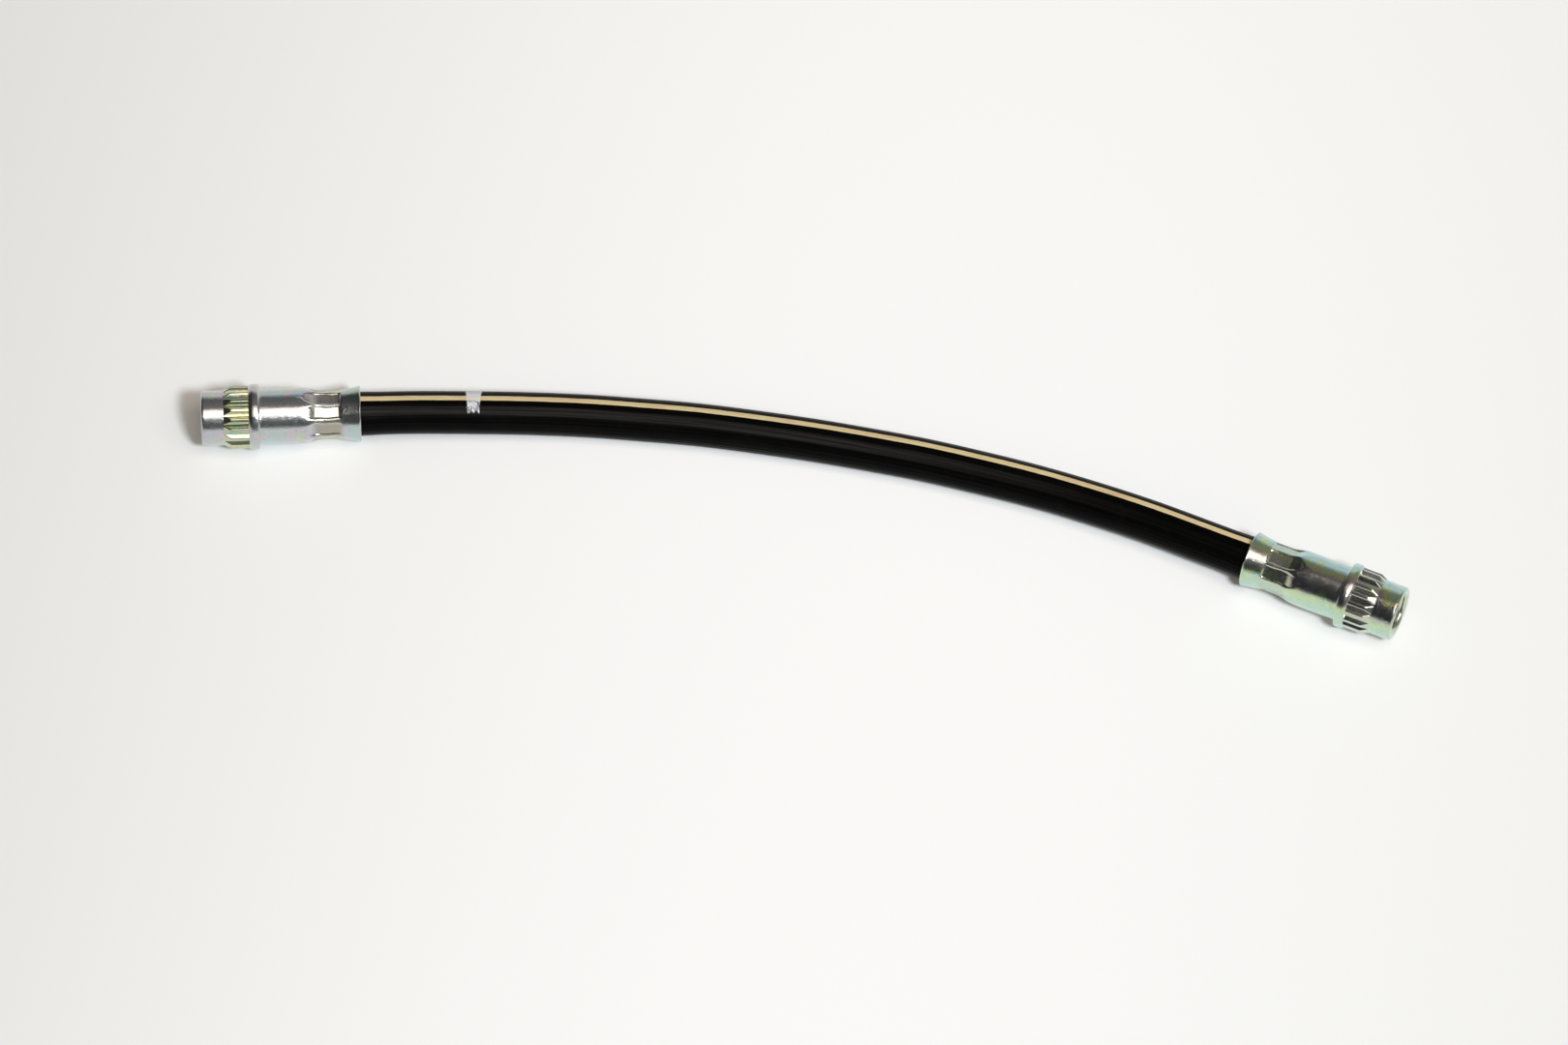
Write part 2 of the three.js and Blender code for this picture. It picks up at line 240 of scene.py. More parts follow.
# Table: the faint glow it shows to the camera and in metal, and painted shade that greys it, how
# much and over what distance, to both sides of its bright line, towards the front, and below the
# panel
TABLE_SIZE = 8.0
TABLE_GLOW = 0.045
TABLE_BRIGHT_LINE = -0.02
TABLE_SIDE_PAINTED_SHADE = 0.77
TABLE_SIDE_REACH = 0.36
TABLE_FRONT_PAINTED_SHADE = 0.64
TABLE_FRONT_REACH = 0.3
TABLE_PANEL_REACH = (0.8, 2.0)
TABLE_PALE = (0.965, 0.975, 0.99, 1)
# Grey of the painted shade, and the darker painted shade below the panel
TABLE_PAINTED_SHADE_GREY = (0.73, 0.735, 0.735, 1)
TABLE_PAINTED_SHADE_UNDER_PANEL = (0.43, 0.432, 0.432, 1)

# Rubber cover, its cream line and its paint, with the line's creams by their place in a ramp
RUBBER_DARK = (0.0003, 0.0003, 0.0004, 1)
RUBBER_PALE = (0.0022, 0.0020, 0.0019, 1)
RUBBER_DUST = (0.012, 0.011, 0.010, 1)
# Painted highlight, a paler streaked band on the hose's camera side
RUBBER_PAINTED_HIGHLIGHT = (0.034, 0.033, 0.031, 1)
STREAK_RANGE = (0.35, 0.65)
LINE_CREAMS = [(0.25, (0.56, 0.42, 0.22)), (0.5, (0.70, 0.57, 0.32)), (0.75, (0.76, 0.67, 0.44))]
LINE_BLUSH = (0.60, 0.36, 0.24, 1)
PAINT = (0.78, 0.80, 0.86, 1)

# Zinc plating: how far round from the top the middle of each fitting's bare strip is, the
# tints of the left fitting's film in patches, and those of the right fitting's film by turns away
# from the bare strip. Each band below starts, is full, fades and ends at its four numbers: along
# the fitting they are shares of its length, and the lower bands are in turns from the bare strip
FILM_MIDDLE_ANGLE = {"left": 31.0, "right": -31.0}
LEFT_TINTS = [
    (0.33, (0.40, 0.60, 0.67)),
    (0.40, (0.54, 0.58, 0.60)),
    (0.45, (0.57, 0.52, 0.62)),
    (0.50, (0.58, 0.57, 0.58)),
    (0.55, (0.64, 0.53, 0.58)),
    (0.60, (0.46, 0.62, 0.57)),
    (0.67, (0.63, 0.61, 0.45)),
]
RIGHT_TINTS = [
    (0.02, (0.48, 0.48, 0.46)),
    (0.05, (0.47, 0.45, 0.48)),
    (0.075, (0.61, 0.65, 0.34)),
    (0.105, (0.54, 0.72, 0.42)),
    (0.135, (0.46, 0.67, 0.57)),
    (0.17, (0.44, 0.62, 0.69)),
    (0.21, (0.48, 0.67, 0.62)),
    (0.30, (0.57, 0.63, 0.52)),
]
CRIMP_BAND = (0.68, 0.73, 0.86, 0.90)
SPLINE_BAND = (0.135, 0.15, 0.30, 0.31)
BLUISH_BAND = (0.35, 0.42, 0.48, 0.56)
BLUISH_MOUTH = (0.88, 0.92)
# Where painted shade darkens the left crimp's prints low on the camera side, in turns from the bare
# strip
LEFT_PAINTED_SHADE_BAND = (0.05, 0.08, 0.17, 0.22)
RIGHT_LOWER_BAND = (0.76, 0.80, 0.91, 0.96)
CRIMP_CREAMS = [(0.40, (0.54, 0.52, 0.48)), (0.50, (0.55, 0.56, 0.50)), (0.60, (0.54, 0.57, 0.40))]
LEFT_BARE = (0.56, 0.58, 0.59, 1)
LEFT_BLUISH = (0.46, 0.63, 0.60, 1)
LEFT_SPLINE_GREEN = (0.52, 0.64, 0.44, 1)
LEFT_SPLINE_GOLD = (0.64, 0.65, 0.42, 1)
# Colour of the painted shade on the left crimp
LEFT_CRIMP_PAINTED_SHADE = (0.38, 0.36, 0.30, 1)
RIGHT_LOWER_GREEN = (0.53, 0.68, 0.49, 1)
RIGHT_CRIMP = (0.50, 0.53, 0.42, 1)
RIGHT_SPLINES = (0.62, 0.61, 0.56, 1)
ZINC_CLOUD = (0.30, 0.31, 0.29, 1)
ZINC_SPOT = (0.16, 0.16, 0.15, 1)

# Braid and liner
BRAID_THREADS = [(0.3, (0.42, 0.38, 0.30)), (0.55, (0.62, 0.58, 0.48)), (0.75, (0.74, 0.71, 0.62))]
LINER_BLACKS = [(0.3, (0.010, 0.010, 0.010)), (0.7, (0.018, 0.018, 0.018))]


def unit(v):
    """The vectors at length 1."""
    return v / np.linalg.norm(v, axis=-1, keepdims=True)


def smooth(x, low, high):
    """0 below low, 1 above high, and an even curve between them."""
    t = np.clip((x - low) / (high - low), 0, 1)
    return t * t * (3 - 2 * t)


def soft_least(a, b, blend):
    """The smaller of two surfaces, with the edge where they meet rounded over blend."""
    return (a + b - np.sqrt((a - b) ** 2 + blend**2)) / 2


def make_camera():
    data = bpy.data.cameras.new("camera")
    data.lens = CAMERA_LENS
    data.sensor_width = CAMERA_SENSOR
    data.clip_start = 0.1
    data.clip_end = 50
    camera = bpy.data.objects.new("camera", data)
    camera.location = CAMERA_PLACE
    towards = Vector(CAMERA_TARGET) - Vector(CAMERA_PLACE)
    camera.rotation_euler = towards.to_track_quat("-Z", "Y").to_euler()
    bpy.context.scene.collection.objects.link(camera)
    bpy.context.scene.camera = camera


def fitting_frame(side):
    """Middle of a fitting's end face, and its inward, upward and across directions."""
    sign = -1 if side == "left" else 1
    yaw = math.radians(FITTING_YAW)
    level = math.cos(REST_TILT)
    inward = np.array([-sign * level * math.cos(yaw), level * math.sin(yaw), -math.sin(REST_TILT)])
    across = unit(np.cross(inward, [0, 0, 1]))
    upward = np.cross(across, inward)
    mouth = np.array([sign * MOUTH_X, MOUTH_Y, MOUTH_HEIGHT])
    return mouth - inward * FITTING_LENGTH, inward, upward, across


def spline_through(points, steps):
    """A centripetal Catmull-Rom curve through the points, with that many steps in each span."""
    p = np.array(points)
    p = np.vstack([2 * p[0] - p[1], p, 2 * p[-1] - p[-2]])
    made = []
    for a, b, c, d in zip(p, p[1:], p[2:], p[3:]):
        da, db, dc = (np.sqrt(np.linalg.norm(y - x)) for x, y in ((a, b), (b, c), (c, d)))
        start = ((b - a) / da - (c - a) / (da + db) + (c - b) / db) * db
        end = ((c - b) / db - (d - b) / (db + dc) + (d - c) / dc) * db
        t = np.arange(steps)[:, None] / steps
        cubic = 2 * b - 2 * c + start + end
        square = 3 * c - 3 * b - 2 * start - end
        made.append(b + start * t + square * t**2 + cubic * t**3)
    return np.vstack([*made, p[-2:-1]])


def hose_route():
    """The hose's centreline, from its cut end in the left fitting to the one in the right."""
    tails = {}
    for side in ("left", "right"):
        end_face, inward, _, _ = fitting_frame(side)
        stations = (HOSE_END, CRIMP_START, FITTING_LENGTH)
        tails[side] = [end_face + inward * station for station in stations]
    points = [*tails["left"], *FREE_ROUTE, *tails["right"][::-1]]
    return spline_through(points, ROUTE_STEPS_PER_SPAN)


def along_line(line):
    """How far along the line each of its points is."""
    steps = np.linalg.norm(np.diff(line, axis=0), axis=1)
    return np.concatenate([[0], np.cumsum(steps)])


def at_distances(line, distances):
    """The points of the line at those distances along it."""
    along = along_line(line)
    return np.stack([np.interp(distances, along, line[:, k]) for k in range(3)], axis=1)


def ring_mesh(name, rings, uv):
    """A closed mesh from rings of points that follow each other round a loop, back to the first.
    uv is (rings + 1, points + 1, 2): the last row and column close the loops."""
    count, around = rings.shape[:2]
    i, j = np.meshgrid(np.arange(count), np.arange(around), indexing="ij")
    i_next, j_next = (i + 1) % count, (j + 1) % around
    row, next_row = i * around, i_next * around
    faces = np.stack([row + j, row + j_next, next_row + j_next, next_row + j], axis=-1)
    corners = np.stack([uv[i, j], uv[i, j + 1], uv[i + 1, j + 1], uv[i + 1, j]], axis=2)
    points = rings.reshape(-1, 3)
    faces = faces.reshape(-1, 4)
    corners = corners.reshape(-1, 4, 2)
    a, b, c, d = (points[faces[:, k]] for k in range(4))
    if np.einsum("ij,ij->", a, np.cross(b, c) + np.cross(c, d)) < 0:
        faces = faces[:, ::-1]
        corners = corners[:, ::-1]
    mesh = bpy.data.meshes.new(name)
    mesh.from_pydata(points.tolist(), [], faces.tolist())
    layer = mesh.uv_layers.new(name="surface")
    layer.data.foreach_set("uv", np.ascontiguousarray(corners, np.float32).ravel())
    mesh.validate()
    piece = bpy.data.objects.new(name, mesh)
    bpy.context.scene.collection.objects.link(piece)
    return piece


def shade(piece, sharp_degrees):
    """Smooth shading, apart from edges that are sharper than that angle."""
    piece.data.shade_smooth()
    piece.data.set_sharp_from_angle(angle=math.radians(sharp_degrees))


# Hose

def cover_radius(station):
    """Outer radius of the hose at a station of the fitting that holds its nearer end."""
    mouth_slope = (MOUTH_RADIUS - CRIMP_POCKET_RADIUS) / (FITTING_LENGTH - CRIMP_END)
    ease = (HOSE_RADIUS - CRIMPED_HOSE_RADIUS) / mouth_slope
    stations = [CRIMP_START, CRIMP_FLAT_START, CRIMP_END, CRIMP_END + ease]
    radii = [HOSE_RADIUS, CRIMPED_HOSE_RADIUS, CRIMPED_HOSE_RADIUS, HOSE_RADIUS]
    bulge = LIP_BULGE * np.exp(-(((station - FITTING_LENGTH) / LIP_BULGE_REACH) ** 2))
    return np.interp(station, stations, radii) + bulge


def rib_profile(rng):
    """How far each point round the hose stands out, for ribs of uneven height."""
    turn = np.arange(RIB_COUNT * POINTS_PER_RIB) / POINTS_PER_RIB
    heights = RIB_HEIGHT * rng.uniform(LOWEST_RIB_SHARE, 1.0, RIB_COUNT)
    wave = 0.5 + 0.5 * np.cos(2 * np.pi * turn)
    return heights[turn.astype(int)] * wave


def make_hose(line):
    """The rubber cover: a tube along the line, ribbed outside where it shows and plain inside."""
    length = along_line(line)[-1]
    outer = np.linspace(0, length, round(length / HOSE_RING_SPACING) + 1)
    inner = np.linspace(length, 0, round(length / BORE_RING_SPACING) + 1)
    distances = np.concatenate([outer, inner])
    centres = at_distances(line, distances)
    ahead = at_distances(line, np.minimum(distances + TANGENT_REACH, length))
    behind = at_distances(line, np.maximum(distances - TANGENT_REACH, 0))
    tangents = unit(ahead - behind)
    upward = unit(np.array([0, 0, 1.0]) - tangents * tangents[:, 2:3])
    across = np.cross(tangents, upward)
    points_round = RIB_COUNT * POINTS_PER_RIB
    angles = 2 * np.pi * np.arange(points_round) / points_round - np.pi
    station = HOSE_END + np.minimum(distances, length - distances)
    ribs = rib_profile(np.random.default_rng(RIB_SEED))
    shown = smooth(station, CRIMP_END, FITTING_LENGTH)
    radii = cover_radius(station)[:, None] + shown[:, None] * (ribs - RIB_HEIGHT / 2)
    radii[len(outer):] = COVER_BORE_RADIUS
    rise, swing = np.cos(angles)[None, :, None], np.sin(angles)[None, :, None]
    spoke = rise * upward[:, None] + swing * across[:, None]
    rings = centres[:, None] + radii[:, :, None] * spoke
    turn = np.arange(points_round + 1) / points_round
    share = np.append(distances, distances[0]) / length
    uv = np.stack(np.broadcast_arrays(turn[None, :], share[:, None]), axis=-1)
    hose = ring_mesh("rubber_hose", rings, uv)
    shade(hose, sharp_degrees=50)
    return hose


# End fittings

def corner(centre_station, centre_radius, radius, start_degrees, end_degrees, steps):
    """Points of a rounded corner in the fitting's profile, as (station, radius) pairs."""
    turns = np.radians(np.linspace(start_degrees, end_degrees, steps + 1))
    return [
        (centre_station + radius * math.cos(turn), centre_radius + radius * math.sin(turn))
        for turn in turns
    ]


def run(start, end, steps):
    """Points of a straight stretch of profile, both ends included."""
    return [tuple(p) for p in np.linspace(start, end, steps + 1)]


def cap_profile():
    """From the socket's mouth over the end face and the cap to the splines."""
    edge = CAP_CHAMFER
    # The chamfer's two corners are softened over these shares of it
    near, far = edge * 0.08, edge * 0.9
    entry = SOCKET_RADIUS + SOCKET_CHAMFER
    return [
        (EDGE_TOUCH * 4, entry + EDGE_TOUCH),
        (0.0, entry + EDGE_EASE),
        (0.0, CAP_RADIUS - edge - EDGE_EASE),
        (near, CAP_RADIUS - far),
        (far, CAP_RADIUS - near),
        (edge + EDGE_TOUCH * 8, CAP_RADIUS),
        *run((edge * 2, CAP_RADIUS), (SPLINE_START - EDGE_HOLD * 2, CAP_RADIUS), 4),
        (SPLINE_START - EDGE_TOUCH * 2, CAP_RADIUS),
    ]


def spline_profile():
    """Over the splines' crests to the collar."""
    lead_end = SPLINE_START + SPLINE_LEAD
    return [
        *run(
            (SPLINE_START, SPLINE_ROOT_RADIUS),
            (lead_end - EDGE_HOLD, SPLINE_RADIUS - EDGE_HOLD / 2),
            11,
        ),
        (lead_end, SPLINE_RADIUS - EDGE_TOUCH),
        *run((lead_end + EDGE_HOLD, SPLINE_RADIUS), (COLLAR_START - EDGE_HOLD, SPLINE_RADIUS), 6),
        (COLLAR_START - EDGE_TOUCH * 3, SPLINE_RADIUS),
    ]


def collar_profile():
    """Over the collar and along the sleeve."""
    chamfer_radius = COLLAR_RADIUS - COLLAR_CHAMFER_DEPTH
    flat_start = COLLAR_START + COLLAR_CHAMFER_LENGTH
    back, fillet = COLLAR_ROUND, COLLAR_FILLET
    return [
        (COLLAR_START, chamfer_radius - EDGE_EASE),
        *run(
            (COLLAR_START + EDGE_EASE, chamfer_radius),
            (flat_start - EDGE_HOLD, COLLAR_RADIUS - EDGE_TOUCH * 4),
            3,
        ),
        (flat_start + EDGE_HOLD, COLLAR_RADIUS),
        *corner(COLLAR_END - back, COLLAR_RADIUS - back, back, 90, 0, 6),
        *corner(COLLAR_END + fillet, SLEEVE_RADIUS + fillet, fillet, 180, 270, 3),
        *run(
            (COLLAR_END + fillet * 3, SLEEVE_RADIUS),
            (CRIMP_START - CRIMP_EASE * 2, SLEEVE_RADIUS),
            6,
        ),
    ]


def crimp_profile():
    """The ribs' run between the jaws, and the flared mouth."""
    rib_start = CRIMP_START + CRIMP_RIB_DELAY
    rib_end = CRIMP_FLAT_START + CRIMP_RIB_DELAY
    ramp_end = CRIMP_END + CRIMP_RUN_OUT
    lip_start = FITTING_LENGTH - LIP_ROUND
    ramp = []
    for station in np.linspace(CRIMP_START - CRIMP_EASE, ramp_end, CRIMP_RINGS):
        share = smooth(station, rib_start - CRIMP_EASE, rib_end + CRIMP_EASE)
        down = SLEEVE_RADIUS + (CRIMP_RIB_RADIUS - SLEEVE_RADIUS) * share
        ramp.append((station, float(max(down, flare_radius(station)))))
    flare_stations = np.linspace(ramp_end + CRIMP_EASE, lip_start, FLARE_RINGS)
    flare = [(station, float(flare_radius(station))) for station in flare_stations]
    return [*ramp, *flare, *corner(lip_start, LIP_RADIUS - LIP_ROUND, LIP_ROUND, 80, 10, 5)]


def flare_radius(station):
    """The mouth's flare, a little hollow like a trumpet's."""
    share = np.clip((station - CRIMP_END) / (FITTING_LENGTH - CRIMP_END), 0, 1)
    hollow = (1 - FLARE_HOLLOW) * share + FLARE_HOLLOW * share**2
    return CRIMP_RIB_RADIUS + (LIP_RADIUS - CRIMP_RIB_RADIUS) * hollow


def socket_profile():
    """The thread's crests from the seat cone back to the socket's mouth."""
    entry = SOCKET_RADIUS + SOCKET_CHAMFER
    rings = round((THREAD_END - THREAD_START) / THREAD_PITCH * THREAD_RINGS_PER_PITCH)
    stations = np.linspace(THREAD_END + THREAD_PITCH / 2, THREAD_START, rings)
    crests = [(s, float(max(SOCKET_RADIUS, entry - s))) for s in stations]
    return [
        *run((SOCKET_DEPTH + SEAT_DEPTH, PASSAGE_RADIUS), (SOCKET_DEPTH, SOCKET_RADIUS), 6),
        *crests,
    ]


def inside_profile():
    """From the lip into the pocket, over the nipple, and through the passage to the seat cone."""
    lip = INNER_LIP_ROUND
    points = [
        *corner(FITTING_LENGTH - lip, MOUTH_RADIUS + lip, lip, 0, -70, 3),
        *run(
            (FITTING_LENGTH - lip * 3, MOUTH_RADIUS - INNER_LIP_DROP),
            (CRIMP_END, CRIMP_POCKET_RADIUS),
            3,
        ),
        (CRIMP_FLAT_START, CRIMP_POCKET_RADIUS),
        (CRIMP_START, POCKET_RADIUS),
        (HOSE_STOP, POCKET_RADIUS),
        (HOSE_STOP, NIPPLE_RADIUS),
    ]
    first_barb = NIPPLE_END - NIPPLE_NOSE - BARB_COUNT * BARB_LENGTH
    points.append((first_barb - BARB_BACK, NIPPLE_RADIUS))
    for i in range(BARB_COUNT):
        points.append((first_barb + i * BARB_LENGTH, NIPPLE_RADIUS + BARB_HEIGHT))
        points.append((first_barb + (i + 1) * BARB_LENGTH - BARB_BACK, NIPPLE_RADIUS))
    points.append((NIPPLE_END - NIPPLE_NOSE / 2, NIPPLE_RADIUS))
    points.append((NIPPLE_END, NIPPLE_RADIUS - NIPPLE_NOSE))
    points.append((NIPPLE_END, PASSAGE_RADIUS))
    return points


def groove_radius(angles, roll):
    """Radius of the V grooves between the spline teeth, at each angle round the fitting."""
    pitch = 2 * math.pi / SPLINE_COUNT
    off = np.abs((angles - math.radians(roll) + pitch / 2) % pitch - pitch / 2)
    across = off * SPLINE_RADIUS
    mouth = (pitch * SPLINE_RADIUS - SPLINE_CREST_WIDTH) / 2
    root = SPLINE_ROOT_WIDTH / 2
    slope = (SPLINE_RADIUS - SPLINE_ROOT_RADIUS) / (mouth - root)
    return SPLINE_ROOT_RADIUS + slope * np.maximum(across - root, 0)


def jaw_depth(station):
    """Radius of the middle of a jaw's print at a station: eased in, hollow, and with a heel."""
    toe = CRIMP_START - JAW_TOE
    share = np.clip((station - toe) / (CRIMP_FLAT_START - toe), 0, 1)
    ramp = SLEEVE_RADIUS + (JAW_RADIUS - SLEEVE_RADIUS) * smooth(share**JAW_EASE, 0, 1)
    middle = (CRIMP_FLAT_START + CRIMP_END) / 2
    half = (CRIMP_END - CRIMP_FLAT_START) / 2
    belly = JAW_BELLY * np.clip((station - middle) / half, -1, 1) ** 2
    rise = smooth(station, CRIMP_END - JAW_HEEL_LENGTH / 2, CRIMP_END + JAW_HEEL_LENGTH)
    heel = JAW_HEEL_HEIGHT * rise**JAW_HEEL_EASE
    return ramp + belly * smooth(station, CRIMP_START, CRIMP_FLAT_START) + heel


def jaw_radius(stations, angles, side, rng):
    """Radius of the ring of jaw prints at each station and angle. No two prints are quite alike."""
    pitch = 2 * math.pi / JAW_COUNT
    turned = angles - math.radians(JAW_ROLL[side]) + pitch / 2
    off = turned % pitch - pitch / 2
    which = np.floor(turned / pitch).astype(int) % JAW_COUNT
    uneven = rng.uniform(-PRINT_DEPTH_SPREAD, PRINT_DEPTH_SPREAD, JAW_COUNT)[which]
    phase = rng.uniform(0, 2 * math.pi, JAW_COUNT)[which]
    wider = rng.uniform(1 - PRINT_WIDTH_SPREAD, 1 + PRINT_WIDTH_SPREAD, JAW_COUNT)[which]
    if side == "left":
        narrow = which == NARROW_PRINT
        wider = np.where(narrow, NARROW_PRINT_SHARE, wider)
        off = off - np.where(narrow, math.radians(NARROW_PRINT_TURN), 0)
    depth = jaw_depth(stations)[:, None] + uneven[None, :]
    reach = np.clip((stations - CRIMP_START + JAW_TOE) / PRINT_ROUND_END, 0, 1)
    half = JAW_WIDTH / 2 * np.sqrt(1 - (1 - reach) ** 2)[:, None] * wider[None, :]
    sway = PRINT_SWAY * np.sin(stations[:, None] * PRINT_SWAY_RATE + phase[None, :])
    sideways = np.abs(depth * np.tan(off)[None, :] + sway)
    wall = np.maximum(sideways - half, 0) * JAW_WALL_SLOPE
    return depth / np.cos(off)[None, :] + wall


def thread_cut(stations, angles):
    """How far the socket's thread cuts out past its crests."""
    turn = (stations[:, None] / THREAD_PITCH - angles[None, :] / (2 * math.pi)) % 1
    saw = 1 - np.abs(2 * turn - 1)
    form = np.clip(saw * THREAD_FLANK - THREAD_CREST_FLAT, 0, 1)
    near = smooth(stations, THREAD_START, THREAD_START + THREAD_FADE)
    far = 1 - smooth(stations, THREAD_END - THREAD_FADE, THREAD_END)
    return THREAD_DEPTH * form * (near * far)[:, None]


def make_fitting(side):
    """One end fitting, as a single closed surface that goes once round the wall's section."""
    end_face, inward, upward, across = fitting_frame(side)
    sections = [
        ("plain", cap_profile()),
        ("spline", spline_profile()),
        ("plain", collar_profile()),
        ("crimp", crimp_profile()),
        ("plain", inside_profile()),
        ("thread", socket_profile()),
    ]
    angles = 2 * np.pi * np.arange(FITTING_POINTS_ROUND) / FITTING_POINTS_ROUND
    angles = angles + math.radians(SPLINE_ROLL[side]) + math.pi / FITTING_POINTS_ROUND
    stations = []
    radii = []
    rng = np.random.default_rng(PRINT_SEED)
    for kind, profile in sections:
        station, radius = np.array(profile).T
        wide = np.repeat(radius[:, None], FITTING_POINTS_ROUND, axis=1)
        if kind == "spline":
            wide = np.minimum(wide, groove_radius(angles, SPLINE_ROLL[side])[None, :])
        if kind == "crimp":
            wide = soft_least(wide, jaw_radius(station, angles, side, rng), CRIMP_BLEND)
        if kind == "thread":
            wide = wide + thread_cut(station, angles)
        stations.append(station)
        radii.append(wide)
    stations = np.concatenate(stations)
    radii = np.concatenate(radii)
    spoke = np.cos(angles)[:, None] * upward + np.sin(angles)[:, None] * across
    rings = end_face + stations[:, None, None] * inward + radii[:, :, None] * spoke[None]
    turn = np.arange(FITTING_POINTS_ROUND + 1) / FITTING_POINTS_ROUND
    share = np.append(stations, stations[0]) / FITTING_LENGTH
    uv = np.stack(np.broadcast_arrays(turn[None, :], share[:, None]), axis=-1)
    fitting = ring_mesh("steel_fitting_" + side, rings, uv)
    shade(fitting, sharp_degrees=40)
    return fitting


# Materials

class Nodes:
    """Adds nodes to a node tree."""

    def __init__(self, tree):
        self.tree = tree

    def node(self, kind, **settings):
        made = self.tree.nodes.new(kind)
        for name, value in settings.items():
            setattr(made, name, value)
        return made

    def feed(self, socket, value):
        if isinstance(value, bpy.types.NodeSocket):
            self.tree.links.new(value, socket)
        else:
            socket.default_value = value

    def math(self, operation, a, b=0.0, c=0.0):
        made = self.node("ShaderNodeMath", operation=operation)
        for socket, value in zip(made.inputs, (a, b, c)):
            self.feed(socket, value)
        return made.outputs[0]

    def range(self, value, low, high, to_low=0.0, to_high=1.0):
        """A smooth step from to_low, where value is low, to to_high, where it is high."""
        made = self.node("ShaderNodeMapRange", interpolation_type="SMOOTHSTEP")
        for socket, number in zip(made.inputs, (value, low, high, to_low, to_high)):
            self.feed(socket, number)
        return made.outputs[0]

    def times(self, *factors):
        total = factors[0]
        for factor in factors[1:]:
            total = self.math("MULTIPLY", total, factor)
        return total

    def apart(self, a, b):
        """How far apart two values are."""
        return self.math("ABSOLUTE", self.math("SUBTRACT", a, b))

    def band(self, value, start, full, still_full, end):
        """1 from full to still_full, and 0 before start and after end."""
        return self.times(self.range(value, start, full), self.range(value, end, still_full))

    def mix(self, share, a, b):
        """Colour a where share is 0, and b where it is 1. The node has sockets for other types
        too: its colours are inputs 6 and 7 and output 2."""
        made = self.node("ShaderNodeMix", data_type="RGBA")
        self.feed(made.inputs["Factor"], share)
        self.feed(made.inputs[6], a)
        self.feed(made.inputs[7], b)
        return made.outputs[2]

    def noise(self, vector, scale, detail, roughness=0.5, distortion=0.0):
        made = self.node("ShaderNodeTexNoise")
        self.feed(made.inputs["Vector"], vector)
        made.inputs["Scale"].default_value = scale
        made.inputs["Detail"].default_value = detail
        made.inputs["Roughness"].default_value = roughness
        made.inputs["Distortion"].default_value = distortion
        return made.outputs["Fac"]

    def ramp(self, value, stops):
        made = self.node("ShaderNodeValToRGB")
        self.feed(made.inputs[0], value)
        elements = made.color_ramp.elements
        elements[0].position, elements[0].color = stops[0][0], (*stops[0][1], 1)
        elements[1].position, elements[1].color = stops[-1][0], (*stops[-1][1], 1)
        for position, colour in stops[1:-1]:
            elements.new(position).color = (*colour, 1)
        return made.outputs[0]

    def scaled(self, vector, scale):
        made = self.node("ShaderNodeMapping")
        self.feed(made.inputs["Vector"], vector)
        made.inputs["Scale"].default_value = scale
        return made.outputs[0]

    def bump(self, height, strength, distance, normal=None):
        made = self.node("ShaderNodeBump")
        self.feed(made.inputs["Strength"], strength)
        made.inputs["Distance"].default_value = distance
        self.feed(made.inputs["Height"], height)
        if normal is not None:
            self.feed(made.inputs["Normal"], normal)
        return made.outputs[0]

    def uv(self):
        """The surface's coordinates, then how far round the piece and how far along it, 0 to 1."""
        made = self.node("ShaderNodeUVMap", uv_map="surface")
        split = self.node("ShaderNodeSeparateXYZ")
        self.feed(split.inputs[0], made.outputs[0])
        return made.outputs[0], split.outputs[0], split.outputs[1]

    def place(self):
        """Where a point is, in metres."""
        return self.node("ShaderNodeTexCoord").outputs["Object"]

    def seen_rays(self):
        """1 for rays that show a background, straight or in metal and glass, and 0 for light."""
        rays = self.node("ShaderNodeLightPath").outputs
        bent = self.math("MAXIMUM", rays["Is Glossy Ray"], rays["Is Transmission Ray"])
        return self.math("MAXIMUM", rays["Is Camera Ray"], bent)


class Shader(Nodes):
    """Builds one material's node tree."""

    def __init__(self, name):
        self.material = bpy.data.materials.new(name)
        self.material.use_nodes = True
        super().__init__(self.material.node_tree)
        self.surface = self.tree.nodes["Principled BSDF"]

    def set(self, **values):
        for name, value in values.items():
            self.feed(self.surface.inputs[name.replace("_", " ")], value)


def rubber_colour(s, angle, share, streaks):
    """Black, streaked lengthwise, dusty in patches, and a painted highlight: a paler near-side
    band.
    """
    black = s.mix(s.range(streaks, *STREAK_RANGE), RUBBER_DARK, RUBBER_PALE)
    mottle = s.noise(s.place(), 260.0, 4.0, 0.6)
    black = s.mix(s.times(s.range(mottle, 0.5, 0.8), 0.15), black, RUBBER_DUST)
    # Painted highlight: paler in a streaked band on the camera side, fading towards the right end
    painted_highlight = s.times(
        s.band(angle, 8.0, 18.0, 32.0, 44.0),
        s.range(share, 0.80, 0.54, 0.1, 1.0),
        s.range(streaks, *STREAK_RANGE, 0.12, 0.55),
    )
    return s.mix(painted_highlight, black, RUBBER_PAINTED_HIGHLIGHT)


